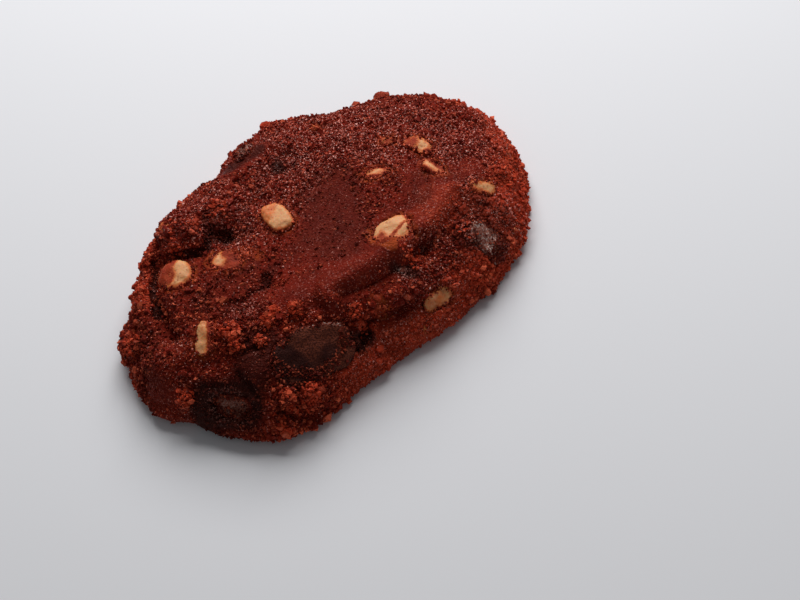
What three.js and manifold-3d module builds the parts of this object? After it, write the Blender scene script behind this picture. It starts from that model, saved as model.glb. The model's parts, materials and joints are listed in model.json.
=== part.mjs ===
// A red velvet cookie: one soft-baked oval of crumbly dark red dough, with white chocolate chips and pieces
// of dark chocolate baked into its top and sides.
// Millimetres, +Z up. It rests on its flat base. The origin is on that base, under the middle of the
// outline, and +X runs along the cookie's length.

import * as THREE from "three";
import { ImprovedNoise } from "three/addons/math/ImprovedNoise.js";
import { mergeVertices } from "three/addons/utils/BufferGeometryUtils.js";
import Module from "manifold-3d";

const wasm = await Module();
wasm.setup();

// ---------------------------------------------------------------- driving sizes

const LENGTH = 75;
const WIDTH = 49.2;
const BASE_REACH = 0.955; // where the flat base ends, as a share of the outline's reach
const LEAN = new THREE.Vector2(0.3, 2.6); // how far the top sits off the middle of the base

// The outline is an ellipse that swells or draws in round these bearings (degrees from +X).
const RIM_LOBES = [
  { bearing: 32, spread: 27, reach: -3.7 },
  { bearing: 66, spread: 9, reach: 1.4 },
  { bearing: 101, spread: 7, reach: -1.8 },
  { bearing: 148, spread: 4, reach: -1.3 },
  { bearing: 191, spread: 5, reach: -1.1 },
  { bearing: 218, spread: 13, reach: 2.5 },
  { bearing: 251, spread: 31, reach: -1.7 },
  { bearing: 318, spread: 24, reach: 2.6 },
];

// The crown's section, from the middle of the top out to the base's edge. Each pair is a share of the
// outline's reach and a height.
const CROWN_SECTION = [
  [0, 12.3],
  [0.35, 12.4],
  [0.62, 12.0],
  [0.79, 10.6],
  [0.9, 7.8],
  [0.955, 5],
  [0.99, 3],
  [1, 1.5],
  [BASE_REACH, 0],
];

// Rolls of dough (height above 0) and the creases beside them (below 0), each along a smooth line through
// points seen from above.
const FOLDS = [
  { height: 1.2, width: 2.3, line: [[17.5, -10.8], [9, -12.6], [3, -12.5], [-5, -10.8], [-12, -8.4]] },
  { height: -2.5, width: 1.2, line: [[19.5, -13], [15, -15], [8.5, -15.9], [2, -15.4], [-6.5, -13.2]] },
  { height: -0.9, width: 1.5, line: [[20, -4], [14.4, -8.8], [8, -9.6]] },
  { height: 1, width: 1.5, line: [[-9, -12.9], [-5.5, -15.4], [-1, -17.3], [3, -18.2]] },
  { height: -1.9, width: 1.2, line: [[-11, -14], [-8, -16.8], [-4, -18.9], [1, -19.9]] },
  { height: -2.6, width: 1.4, line: [[-20, 17.4], [-24.4, 13], [-26.6, 9.5], [-28, 6.4], [-28.8, 2.5]] },
  { height: -1.6, width: 1, line: [[-21.6, 14.2], [-19.1, 11.8], [-16, 9.8]] },
  { height: 0.9, width: 2, line: [[-5.5, 17.6], [-1, 17.9], [4, 16.9], [9, 15.4]] },
  { height: -0.7, width: 1.8, line: [[12, 13], [7.5, 10], [5, 6.5]] },
  { height: -1.6, width: 1.2, line: [[-24.6, -17.4], [-22.9, -19.6], [-20.6, -21]] },
];

// Round lumps (height above 0) and hollows (below 0) in the top and sides, placed as seen from above.
const LUMPS = [
  { at: [-14.6, 15.4], radius: 4, height: 2 },
  { at: [-11.4, 9.2], radius: 2.3, height: -2.4 },
  { at: [-2.8, 9.8], radius: 1.5, height: -1.4 },
  { at: [4, 11], radius: 1.2, height: -0.9 },
  { at: [-13.2, -2.2], radius: 1.8, height: -1.1 },
  { at: [-7, -18.6], radius: 1.4, height: -2 },
  { at: [-21, -18.3], radius: 1.2, height: -1.6 },
  { at: [-29.4, -11.6], radius: 3, height: -0.8 },
  { at: [-21.4, -6.4], radius: 2.3, height: 1.2 },
  { at: [-17.3, -9.8], radius: 1.6, height: 1 },
  { at: [-13, -10.2], radius: 1.3, height: 0.9 },
  { at: [-18.2, -19.4], radius: 1.6, height: 1.5 },
  { at: [-23.4, -17.4], radius: 1.2, height: 0.8 },
  { at: [-33, -5.7], radius: 1.4, height: 0.9 },
  { at: [-33, 0.4], radius: 2.2, height: 1 },
  { at: [-33.4, 11], radius: 2.4, height: 1.3 },
  { at: [13.6, -18.6], radius: 1.7, height: 0.8 },
  { at: [14.5, 8.5], radius: 4.5, height: 0.7 },
  { at: [27.5, -5], radius: 3.2, height: 0.8 },
];

// Broken crumb, in octaves of lump size and depth: deep round the rim, shallow on the smooth middle.
const CRAGS = [
  { size: 10, depth: 0.6 },
  { size: 4.1, depth: 0.7 },
  { size: 2.3, depth: 0.45 },
];
const SMOOTH_REACH = 0.5; // the middle ends here, as a share of the outline's reach
const SMOOTH_SHARE = 0.35; // of the crags' depth, what is left inside it
const RIM_REACH = 0.85; // and from here out they are full
const SOLE_HEIGHT = 1.6; // below this, the relief fades out towards the flat base

// Chips and chunks of chocolate. `shows` is the length and width of the face that shows at the surface,
// `proud` how far it stands out there, and `turn` its bearing on the surface in degrees. A piece is placed
// by `at`, a point seen from above, or low on the side by `bearing` and `height`.
const WHITE_CHIPS = [
  { at: [-21.4, 9.6], shows: [6, 5.2], proud: 1.3, turn: 111 },
  { at: [-3.6, 5], shows: [5.9, 3.9], proud: 1.5, turn: 90 },
  { at: [-14.4, 5.1], shows: [5.3, 3.5], proud: 0.6, turn: 119 },
  { at: [-25.4, -2.6], shows: [5.4, 3], proud: 0.8, turn: 37 },
  { at: [7, -11], shows: [6.4, 5], proud: 0.8, turn: 175 },
  { at: [12.9, -0.6], shows: [5, 1.9], proud: 0.4, turn: 140 },
  { at: [21.4, -1.4], shows: [5.4, 2.8], proud: 0.7, turn: 107 },
  { at: [18.4, 3], shows: [2.2, 2], proud: 0.4, turn: 134 },
  { at: [19.8, -6.6], shows: [4.2, 2], proud: 0.5, turn: 88 },
  { at: [23, -14.1], shows: [4.6, 2.5], proud: 0.7, turn: 144 },
  { at: [32.4, -10.2], shows: [2.6, 2], proud: 0.4, turn: 170 },
  { at: [5.2, -21.4], shows: [4.7, 3.1], proud: 0.5, turn: 4 },
  { at: [-16.6, 17], shows: [2.7, 2.3], proud: 0.4, turn: 123 },
  { at: [13.2, 15], shows: [2.6, 2], proud: 0.4, turn: 123 },
  { bearing: 58, height: 4.4, shows: [4.8, 3.4], proud: 0.5, turn: 20 },
  { bearing: 90, height: 3.8, shows: [5.4, 3.6], proud: 0.5, turn: -30 },
  { bearing: 14, height: 3.6, shows: [4.2, 3.2], proud: 0.5, turn: 60 },
  { bearing: 134, height: 4, shows: [4.4, 3], proud: 0.5, turn: 10 },
];
const DARK_CHUNKS = [
  { at: [-15.4, -16.2], shows: [11, 6.8], proud: 0.5, turn: 162 },
  { at: [-29.8, -12.3], shows: [8.6, 5], proud: 0.4, turn: 124 },
  { at: [17.6, -20.2], shows: [7.4, 4.2], proud: 0.6, turn: 111 },
  { at: [1.4, 19.6], shows: [3.8, 2.6], proud: 0.4, turn: 6 },
  { bearing: 36, height: 4.2, shows: [6, 4.2], proud: 0.5, turn: 35 },
];
const PIECE_DEPTH = 0.8; // a piece's thickness, as a share of the width that shows
const THINNEST = 2; // but never thinner than this,
const THICKEST = 3.6; // nor thicker than this
const SQUARENESS = 2.6; // 2 makes a piece an ellipsoid, and more squares it off
const POCKET_GAP = 0.3; // between a piece and the dough round it

const UNEVEN = 0.12; // how far a piece's own lumps stand out, as a share of its size

const DOUGH_DETAIL = 17; // 20 * (detail + 1)^2 triangles
const BASE_SHARE = 0.1; // of those triangles, the share that lies on the flat base
const LARGE_PIECE = 5; // a piece at least this long gets the larger of the two details
const PIECE_DETAILS = { small: 1, large: 2 };
const SECTION_STEPS = 240;
const FOLD_STEPS = 24;
const LEAN_ROUNDS = 8;

// ---------------------------------------------------------------- the dough's form

const UP = new THREE.Vector3(0, 0, 1);
const { clamp, degToRad, radToDeg, euclideanModulo, lerp, smoothstep } = THREE.MathUtils;
const perlin = new ImprovedNoise();
const topHeight = CROWN_SECTION[0][1];
const meanReach = (LENGTH + WIDTH) / 4;

// How far the outline reaches at a bearing in radians.
function outlineReach(bearing) {
  let reach = 1 / Math.hypot(Math.cos(bearing) / (LENGTH / 2), Math.sin(bearing) / (WIDTH / 2));
  for (const lobe of RIM_LOBES) {
    const off = euclideanModulo(radToDeg(bearing) - lobe.bearing + 180, 360) - 180;
    reach += lobe.reach * Math.exp(-((off / lobe.spread) ** 2));
  }
  return reach;
}

// The crown's section in short steps, each with the share of the crown's area that lies inside it.
function sectionSteps(count) {
  const curve = new THREE.SplineCurve(CROWN_SECTION.map((pair) => new THREE.Vector2(...pair)));
  const steps = curve.getPoints(count).map(({ x, y }) => ({ reach: Math.max(x, 0), height: y, area: 0 }));
  for (let i = 1; i <= count; i++) {
    const [a, b] = [steps[i - 1], steps[i]];
    const slant = Math.hypot((b.reach - a.reach) * meanReach, b.height - a.height);
    b.area = a.area + slant * (a.reach + b.reach);
  }
  const whole = steps[count].area;
  for (const step of steps) step.area /= whole;
  return steps;
}

const section = sectionSteps(SECTION_STEPS);

// The section's point where its reach or area first rises to a value, or its height first falls to one.
function sectionWhere(key, value) {
  const sign = key === "height" ? -1 : 1;
  const i = section.findIndex((step) => sign * step[key] >= sign * value);
  if (i <= 0) return section.at(i);
  const [a, b] = [section[i - 1], section[i]];
  const t = (value - a[key]) / (b[key] - a[key]);
  return { reach: lerp(a.reach, b.reach, t), height: lerp(a.height, b.height, t) };
}

// The point of the plain crown at a bearing and a point of the section, before any relief.
function crownPoint(bearing, { reach, height }) {
  const out = reach * outlineReach(bearing);
  const plan = new THREE.Vector2(out, 0).rotateAround(new THREE.Vector2(), bearing);
  plan.addScaledVector(LEAN, height / topHeight);
  return new THREE.Vector3(plan.x, plan.y, height);
}

// The point of the plain crown that shows at (x, y) from above. The crown leans, so each round takes the
// lean at the height that the last round found.
function crownAt(x, y) {
  let height = topHeight;
  for (let round = 0; round < LEAN_ROUNDS; round++) {
    const plan = new THREE.Vector2(x, y).addScaledVector(LEAN, -height / topHeight);
    height = sectionWhere("reach", plan.length() / outlineReach(plan.angle())).height;
  }
  return new THREE.Vector3(x, y, height);
}

const foldLines = FOLDS.map(({ line }) => {
  const curve = new THREE.SplineCurve(line.map((point) => new THREE.Vector2(...point)));
  return curve.getPoints(FOLD_STEPS).map(({ x, y }) => crownAt(x, y));
});
const lumpMiddles = LUMPS.map(({ at }) => crownAt(...at));

function distanceToLine(point, line) {
  let nearest = Infinity;
  for (let i = 1; i < line.length; i++) {
    const along = line[i].clone().sub(line[i - 1]);
    const t = clamp(point.clone().sub(line[i - 1]).dot(along) / along.lengthSq(), 0, 1);
    nearest = Math.min(nearest, point.distanceTo(line[i - 1].clone().addScaledVector(along, t)));
  }
  return nearest;
}

const bell = (distance, width) => Math.exp(-((distance / width) ** 2));

// How far the surface stands out of the plain crown at a point.
function relief(point) {
  let out = 0;
  FOLDS.forEach(({ width, height }, i) => {
    out += height * bell(distanceToLine(point, foldLines[i]), width);
  });
  LUMPS.forEach(({ radius, height }, i) => {
    out += height * bell(point.distanceTo(lumpMiddles[i]), radius);
  });
  const plan = new THREE.Vector2(point.x, point.y);
  const share = plan.length() / outlineReach(plan.angle());
  const rough = lerp(SMOOTH_SHARE, 1, smoothstep(share, SMOOTH_REACH, RIM_REACH));
  for (const { size, depth } of CRAGS) {
    out += depth * rough * perlin.noise(point.x / size, point.y / size, point.z / size);
  }
  return out * smoothstep(point.z, 0, SOLE_HEIGHT);
}

// A closed ball whose triangles share their corners, ready to be shaped.
function ball(detail) {
  const geometry = new THREE.IcosahedronGeometry(1, detail);
  geometry.deleteAttribute("normal");
  geometry.deleteAttribute("uv");
  return mergeVertices(geometry);
}

// Moves each corner of a geometry to shape(corner, index).
function reshape(geometry, shape) {
  const { position } = geometry.attributes;
  const corner = new THREE.Vector3();
  for (let i = 0; i < position.count; i++) {
    corner.fromBufferAttribute(position, i);
    position.setXYZ(i, ...shape(corner, i));
  }
  return geometry;
}

// The ball's corners are spread over the crown by its area, and those round its south pole over the base.
function doughGeometry() {
  const geometry = reshape(ball(DOUGH_DETAIL), (corner) => {
    const bearing = Math.atan2(WIDTH * corner.y, LENGTH * corner.x);
    const share = (1 - corner.z) / 2;
    if (share < 1 - BASE_SHARE) return crownPoint(bearing, sectionWhere("area", share / (1 - BASE_SHARE)));
    return crownPoint(bearing, { reach: BASE_REACH * Math.sqrt((1 - share) / BASE_SHARE), height: 0 });
  });
  geometry.computeVertexNormals();
  const normal = new THREE.Vector3();
  return reshape(geometry, (corner, i) => {
    normal.fromBufferAttribute(geometry.attributes.normal, i);
    corner.addScaledVector(normal, relief(corner));
    return corner.setZ(Math.max(corner.z, 0));
  });
}

// ---------------------------------------------------------------- chips and chunks

// The place of a piece on the finished surface, and the outward normal there, from two short steps aside.
function seat({ at, bearing, height }) {
  const step = 0.3;
  const spot = (dx, dy) => {
    if (at) return crownAt(at[0] + dx, at[1] + dy);
    return crownPoint(degToRad(bearing) + dx / meanReach, sectionWhere("height", height + dy));
  };
  const middle = spot(0, 0);
  const normal = spot(step, 0).sub(middle).cross(spot(0, step).sub(middle)).normalize();
  return { middle: middle.addScaledVector(normal, relief(middle)), normal };
}

// A blunt, uneven piece of chocolate about its own middle, `grow` larger all round.
function pieceGeometry(half, grow) {
  const detail = 2 * half.x >= LARGE_PIECE ? PIECE_DETAILS.large : PIECE_DETAILS.small;
  return reshape(ball(detail), (corner) => {
    const lump = 1 + UNEVEN * perlin.noise(2 * corner.x + half.x, 2 * corner.y + half.y, 2 * corner.z);
    return corner.toArray().map((value, axis) => {
      const squared = Math.sign(value) * Math.abs(value) ** (2 / SQUARENESS);
      return squared * (half.getComponent(axis) * lump + grow);
    });
  });
}

function solidOf(geometry, matrix) {
  const { position } = geometry.clone().applyMatrix4(matrix).attributes;
  return new wasm.Manifold(
    new wasm.Mesh({
      numProp: 3,
      vertProperties: new Float32Array(position.array),
      triVerts: new Uint32Array(geometry.index.array),
    }),
  );
}

function geometryOf(solid) {
  const { vertProperties, triVerts } = solid.getMesh();
  return new THREE.BufferGeometry()
    .setAttribute("position", new THREE.BufferAttribute(vertProperties, 3))
    .setIndex(new THREE.BufferAttribute(triVerts, 1));
}

// ---------------------------------------------------------------- materials

const doughMaterial = new THREE.MeshStandardMaterial({ color: 0x5e2219, roughness: 0.75, metalness: 0 });
const whiteMaterial = new THREE.MeshStandardMaterial({ color: 0xd0a077, roughness: 0.45, metalness: 0 });
const darkMaterial = new THREE.MeshStandardMaterial({ color: 0x2f1712, roughness: 0.5, metalness: 0 });

// ---------------------------------------------------------------- the cookie

const body = new THREE.Group();

// Adds a piece to the cookie, and returns the pocket that it needs in the dough.
function addPiece(name, place, material) {
  const { middle, normal } = seat(place);
  const [length, width] = place.shows;
  const halfDepth = clamp(PIECE_DEPTH * width, THINNEST, THICKEST) / 2;
  const sunk = 1 - place.proud / halfDepth;
  const spread = (1 - sunk ** SQUARENESS) ** (1 / SQUARENESS);
  const half = new THREE.Vector3(length / 2 / spread, width / 2 / spread, halfDepth);
  const mesh = new THREE.Mesh(pieceGeometry(half, 0), material);
  mesh.name = name;
  mesh.position.copy(middle).addScaledVector(normal, -sunk * halfDepth);
  mesh.quaternion.setFromUnitVectors(UP, normal).multiply(
    new THREE.Quaternion().setFromAxisAngle(UP, degToRad(place.turn)),
  );
  mesh.updateMatrix();
  body.add(mesh);
  return solidOf(pieceGeometry(half, POCKET_GAP), mesh.matrix);
}

function addPieces(name, places, material) {
  return places.map((place, i) => addPiece(`${name}_${String(i + 1).padStart(2, "0")}`, place, material));
}

const pockets = [
  ...addPieces("white_chip", WHITE_CHIPS, whiteMaterial),
  ...addPieces("dark_chunk", DARK_CHUNKS, darkMaterial),
];
const whole = solidOf(doughGeometry(), new THREE.Matrix4());
const pitted = pockets.reduce((solid, pocket) => solid.subtract(pocket), whole);
// A pocket that just breaks the surface can cut a crumb loose, and only the cookie itself is kept.
const largest = pitted.decompose().reduce((a, b) => (a.volume() > b.volume() ? a : b));
const dough = new THREE.Mesh(geometryOf(largest), doughMaterial);
dough.name = "dough";
body.add(dough);

// The crags move the outline's middle a little, so the whole is set back over the origin.
const middle = new THREE.Box3().setFromObject(body, true).getCenter(new THREE.Vector3());
body.position.set(-middle.x, -middle.y, 0);

const cookie = new THREE.Group();
cookie.add(body);

export default cookie;
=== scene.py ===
"""Red velvet cookie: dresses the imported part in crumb, smeared chocolate and soft light."""

import json
import math

import bpy
import numpy as np
from mathutils import Matrix, Vector
from mathutils.bvhtree import BVHTree

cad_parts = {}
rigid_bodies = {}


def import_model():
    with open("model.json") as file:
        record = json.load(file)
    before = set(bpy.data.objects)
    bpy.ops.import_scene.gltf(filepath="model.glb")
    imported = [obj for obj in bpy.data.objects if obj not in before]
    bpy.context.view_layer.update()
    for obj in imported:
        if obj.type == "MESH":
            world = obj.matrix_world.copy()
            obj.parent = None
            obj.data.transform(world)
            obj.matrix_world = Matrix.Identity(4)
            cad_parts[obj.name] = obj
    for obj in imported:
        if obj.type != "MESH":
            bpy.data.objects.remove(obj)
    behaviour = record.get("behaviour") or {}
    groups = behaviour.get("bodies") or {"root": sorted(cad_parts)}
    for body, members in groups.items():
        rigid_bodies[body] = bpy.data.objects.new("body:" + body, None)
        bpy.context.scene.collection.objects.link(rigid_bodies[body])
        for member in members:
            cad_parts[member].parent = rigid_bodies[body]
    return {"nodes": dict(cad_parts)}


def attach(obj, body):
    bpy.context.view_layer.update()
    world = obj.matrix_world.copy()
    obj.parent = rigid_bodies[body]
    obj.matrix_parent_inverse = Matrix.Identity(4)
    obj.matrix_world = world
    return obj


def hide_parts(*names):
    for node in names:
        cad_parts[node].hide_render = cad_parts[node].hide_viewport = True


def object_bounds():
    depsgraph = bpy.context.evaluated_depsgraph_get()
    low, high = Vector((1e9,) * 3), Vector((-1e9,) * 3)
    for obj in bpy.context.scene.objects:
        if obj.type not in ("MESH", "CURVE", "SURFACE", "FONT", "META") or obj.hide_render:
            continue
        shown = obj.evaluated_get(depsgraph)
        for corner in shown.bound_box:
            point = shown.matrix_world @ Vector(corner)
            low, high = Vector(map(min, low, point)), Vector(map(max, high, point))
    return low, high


bl_info = {
    "name": "Red Velvet Cookie",
    "version": (1, 0, 0),
    "blender": (4, 5, 0),
    "location": "View3D > Sidebar > Cookie",
    "description": "Dresses the packed cookie in crumb, chocolate and soft light",
    "category": "Object",
}

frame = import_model()
CAD_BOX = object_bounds()

MM = 0.001
# The highest point of the cookie, the top of its crumbly foot and half its length and width, in millimetres
ROOF = CAD_BOX[1][2] / MM
FOOT = 2.0
HALF_SPAN = np.array([37.6, 24.7])
# How far the dough and its grains may stand over the highest point, and a height above everything
DOUGH_PROUD = 0.2
GRAINS_PROUD = 0.3
ABOVE = 30.0
# How far round a chip the dough's surface is read
ROUND_ABOUT = 6.0
# The share of a line's reach where it has its full strength
CORE = 0.45
# How finely weights are told apart, the shapes of each kind of grain, and what grains take from the dough
WEIGHT_STEPS = 50
GRAIN_SHAPES = 6
GRAIN_LOOKS = ("frost_highlighted", "shade_and_stained", "rusty", "smooth", "crystal_sparkles")

# The photograph's frame, the point that the camera aims at, in millimetres, and its pixel there
PICTURE_WIDTH = 800
PICTURE_HEIGHT = 600
AIM = Vector((-2.02, -3.164, 6.0))
AIM_PIXEL = (322.0, 262.0)
PIXELS_PER_MM = 6.27
SENSOR = 36.0
# The stage, in metres
FLOOR_SIZE = 6.0
LAMP_SIZE = (0.34, 0.26)
LAMP_BEHIND = 0.255
LAMP_HEIGHT = 0.27
SKY_COLOUR = (0.95, 0.97, 1.0, 1.0)

WHITE_CHIPS = sorted(name for name in frame["nodes"] if name.startswith("white_chip"))
DARK_CHUNKS = sorted(name for name in frame["nodes"] if name.startswith("dark_chunk"))
# The chips that stand proudest, and how much bloom each chunk has
PROUD_CHIPS = WHITE_CHIPS[:2]
BLOOM = (0.0, 0.2, 0.55, 0.6, 0.4)

# Lines on the cookie, in millimetres from its middle: reach, strength, and x and y of each corner in turn
# Where the dough lies in smooth folds
SMOOTH = (
    (3.4, 1, 17.5, -10.8, 9, -12.6, 3, -12.5, -5, -10.8, -12, -8.4),
    (3, 0.7, 20, -4, 14.4, -8.8, 8, -9.6), (2, 0.35, -9, -12.9, -5.5, -15.4, -1, -17.3, 3, -18.2),
    (5.5, 0.6, 4.8, 1, 2, -4.5, -4, -4), (2.6, 0.8, 19, -9.8, 25, -10.8),
    (4, 0.5, -20.5, -11.5, -24.5, -12.5), (3, 0.45, -34.5, -0.5, -34.6, -4, -33.5, -9),
    (2.4, 0.35, -12, -21.6, -4, -22.9, 3, -23.9, 10, -24), (1.8, 1, -2.5, 19, 0, 17.4, 4.2, 16.8),
    (3, 0.25, -16, -14.8, -8, -18, 0, -19.6),
)
# Where the rim is less broken than elsewhere
CALM = (
    (7, 0.55, 36.5, -1, 34, -8, 31, -14, 25, -20), (3.4, 0.8, -6, 17, -1.7, 19.8, 2, 20, 6.5, 20.6),
    (5, 0.7, -35, -2, -33, -10, -29, -16),
)
# Where the dough is crumbly all over
CRUMBLY = (
    (5, 0.9, -14.6, 15.4, -18, 17), (4, 0.6, -9, 12.5, -3, 14), (4, 0.7, -33, 10, -33.6, 3),
    (3.2, 0.8, -22.5, -6.5, -13, -10), (3, 0.9, -22.4, -17.9, -15, -20.5), (3.5, 0.3, -20, 2, -24, -4),
    (3, 0.5, 10, -15, 22, -17), (4, 0.45, -2, -16.4, 6, -18.4, 12, -19.6),
)
# Where pale grains lie thickly, painted as highlights; some lines brighten slopes in shade and the crest of
# a fold
FROST_HIGHLIGHTED = (
    (8, 0.6, -8, 9, 4, 9), (9, 1, 6, 13, 14, 10, 20, 4, 25, -6), (5, 0.3, -29, -1, -33, -5),
    (6, 0.9, -14.6, 15.4, -6, 13), (3.2, 0.7, 8, -22.6, -2, -21.6, -12, -20.8),
    (4, 0.5, 6, -18.6, 12, -20), (4.5, 1.3, 16, -12, 20, -15.5, 24, -18.5),
    (3, 0.8, -19.5, -4, -17, -5.5), (4.5, 1.1, 20, -12, 26, -9), (4, 0.8, 31, -8, 34, -2),
    (2.6, 1.4, 17, -11.5, 13.3, -13.2, 8.2, -14.4), (1.6, 0.6, 2.5, -14.2, -6.6, -12, -10.8, -9.9),
)
# Where melted chocolate has darkened the dough, and where shade is painted in cracks and on the shadowed
# side of a fold
SHADED_AND_STAINED = (
    (4, 1, -27, -14, -31.5, -9), (4.5, 0.75, -20, -10.9, -24.3, -12.5), (1.6, 1, 3.2, 11.8, 3.6, 12.4),
    (1.8, 0.9, 3, -15.6, 4.6, -18), (1.6, 0.7, -2.2, 18.6, 3.6, 17), (3, 0.5, 15, -18.6, 22, -19.8),
    (2.6, 0.6, 21, -15.6, 16, -18), (2.2, 0.7, -11.4, 10.6, -10.7, 9), (1.8, 1, -9, -19, -6.5, -18.8),
    (1.8, 0.5, -12.4, -3.1, -10.3, -2.3), (2.2, 0.35, -14, 3, -12, 0.5), (2.4, 0.35, -6, 9.5, -8, 7),
    (2.6, 0.3, 1, 13, 6, 12), (8, 0.45, 6, 2, 1, -5), (5.5, 0.3, -20, 1, -17, -4),
    # The last entry here is painted shade on the shadowed side of a fold
    (4, 0.3, -31.6, 6, -34.6, -1), (2.6, 0.4, 17.4, -7, 15.2, -9.8),
)
# Where the crumb is bare and rust red
RUSTY = (
    (3.6, 1, -15, -21.8, -4, -22.7, 3, -23.8, 12, -23.6), (4, 0.7, -22, 13, -27, 12),
    (4, 0.15, -33, 8, -34, 1), (4, 0.9, 14.5, -12.5, 18, -14.5, 23, -17.5),
    (2, 0.6, 16.4, -9.6, 12.4, -13.4), (3, 0.8, -4, -20.2, -12, -20.6, -15, -20.8),
)
# Where crumb has partly filled a crease
FILLED = (
    (3.4, 1, 3.6, -15.2, -2, -14, -6.5, -12.8), (2.4, 0.6, 19.5, -13, 15, -15, 11.5, -15.5),
    (1.8, 0.4, -11, -14, -8, -16.8),
)
# Where chocolate that has melted into the dough shows pale bloom, painted with bright sparkle
GLITTERING = (
    (2.6, 1, 16.6, -19.4, 17.6, -20.8), (1.5, 0.9, 3.4, -15.9, 3.2, -18),
    (2.4, 0.4, -28.4, -12.8, -30, -10.6),
)
# Where the rim is duller than elsewhere
DULL = (
    (7, 0.85, -36, -2, -33, -11, -28, -18.5, -20, -21.6), (5, 0.9, -31, 10, -33, 3, -35, -2),
)
# Where the crust has cracked open
CRACKS = (
    (1.1, 1, -10.6, 13.6, -11.6, 11.8, -12.8, 10.2, -14.6, 8.9),
    (0.9, 0.8, -14.6, 8.9, -15.9, 9.6, -17.1, 10.6, -18.5, 11.9, -20, 13.8),
    (1.4, 0.7, -11.5, 10.6, -10.7, 9),
    (1, 1, -21, 16.2, -22.2, 15, -23.8, 12.6, -25, 10.7, -26.3, 8.8, -27.1, 7.2),
    (1.1, 0.9, -9.2, -19.6, -6.4, -18.6), (1.1, 0.6, -12.6, -3.2, -11.8, -2.4),
    (0.9, 0.6, -20.8, -7.6, -21.1, -8.7, -22.1, -9.1),
    (0.6, 0.5, -25.4, -10.9, -25.2, -12.8, -25.6, -14.2), (0.9, 0.9, -19.9, -17.9, -20.4, -18.9),
    (0.9, 0.7, -24.2, -17.9, -23.4, -19.2), (0.7, 0.6, -22.9, -9.4, -21.8, -10.2, -20.4, -10.7),
    (0.6, 0.3, -18.4, -1.7, -17, -3, -15, -2.6, -13.6, -3.2),
)
# Where dough lies smeared over the chocolate
FILMED = (
    (2.3, 0.8, -22.6, 9.6, -21.6, 11, -20.2, 11.8), (3.2, 1, -11.6, 5.2, -11.8, 3, -14.4, 2.2),
    (2, 1, -21.6, -1.7, -23.4, -4.2, -25.3, -6), (2.4, 0.2, -25.6, -0.8, -26.2, -4.4),
    (3.4, 0.5, 3.4, -20.8, 6.2, -21.8), (0.45, 0.75, 5.8, -12, 8, -11.9, 10.4, -11.5),
    (2, 0.8, 4.6, -9.6, 4.4, -12), (1.5, 1, 12.5, 2, 15.6, -1.4), (1.5, 1, 10.3, -0.2, 13.2, -3.6),
    (2.4, 0.75, 19.4, 1.4, 20.8, -0.6), (1.3, 0.8, 23.4, -12, 25.4, -14.6),
    (1.2, 0.8, 20.9, -13.6, 22.8, -16.2), (1.8, 0.55, 17.6, 3.4, 19.2, 2.6),
    (1.6, 1, 21.4, -4.6, 21.5, -8.6), (1.5, 1, 18.4, -4.8, 18.6, -8.6), (3.2, 0.42, -5.2, 6.2, -4, 7.2),
    (2, 0.8, 31.5, -11, 33, -9.6), (1.8, 0.6, -17.4, 16.4, -16, 17.6),
    (1.6, 0.6, 13.4, 15.6, 13.1, 13.8), (2.6, 0.8, -21.8, -15.6, -19, -14, -18, -17.6),
    (1.5, 0.6, -16, -18.6, -12.6, -18), (2.2, 0.9, 18.4, -17.4, 20.6, -18.6),
    (2, 0.8, 17.6, -23.4, 20, -22.4),
)
# Where a chip that is nearly buried still shows through
BARE = (
    (2.2, 0.2, 22, -13.6, 24.6, -14.6), (3.4, 0.3, 3.2, -21.2, 6.4, -21.6),
    (2.4, 0.55, -25.6, 0.4, -27.8, -3.4), (1.8, 0.85, 5.2, -9, 7.4, -8.4),
)
# Where dough is drawn thin and orange round a chip
DRAWN = (
    (1.9, 1, 4.8, -9.2, 4.4, -11, 4.9, -12.9), (1.6, 0.8, -11, 4, -9.8, 1.2),
    (1.4, 0.9, -2.8, -17.2, -1.8, -18.2), (1.4, 0.8, 19.6, 1.6, 20.6, -0.8),
)
# Where loose crumb lies on the chocolate
COVERED = (
    (1.4, 1, -21.6, -1.7, -23.4, -4.2, -25.3, -6), (1.8, 0.8, -11.6, 3.6, -10.8, 1.4),
    (0.8, 0.7, -24.6, 8.8, -23.4, 7, -21.6, 5.4), (1, 0.6, 4.4, -9.4, 4, -11.4),
    (1, 0.8, 20.4, 1.4, 21.8, 0.6), (1.2, 0.5, 17.8, 3.4, 19, 2.6), (2, 1, 18.4, -17.4, 20.6, -18.6),
    (1.8, 1, 17.6, -23.4, 20, -22.4), (1, 0.6, -20.6, -13.6, -19.6, -16.4, -16.4, -19, -12.4, -19.2),
    (0.8, 0.7, -11.6, -18.6, -9.6, -17.6), (0.8, 0.7, -18.2, -12.4, -16.6, -12.8),
    (1.4, 0.6, -31.6, -9.6, -28.6, -14.6),
)
# The painted highlight along the top edge of the largest chunk
EDGE_HIGHLIGHT = ((0.8, 1, -12.4, -13.7, -10.6, -14.6, -9.2, -16),)
# Specks too small to be chips: x, y, length, width, turn in degrees, slot, share smeared with dough
FLECKS = (
    (1.1, -23.2, 1.6, 0.6, 8, "white_chocolate", 0.55),
    (-2.2, -17.4, 1.4, 1.1, 0, "white_chocolate", 0.85),
    (23.4, -21, 1.4, 1.1, 40, "white_chocolate", 0.4),
    (19.4, 8.6, 0.7, 0.5, 70, "white_chocolate", 0.6),
    (3.9, -16.6, 1.8, 1.2, 65, "dark_chocolate", 0.5),
)
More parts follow.
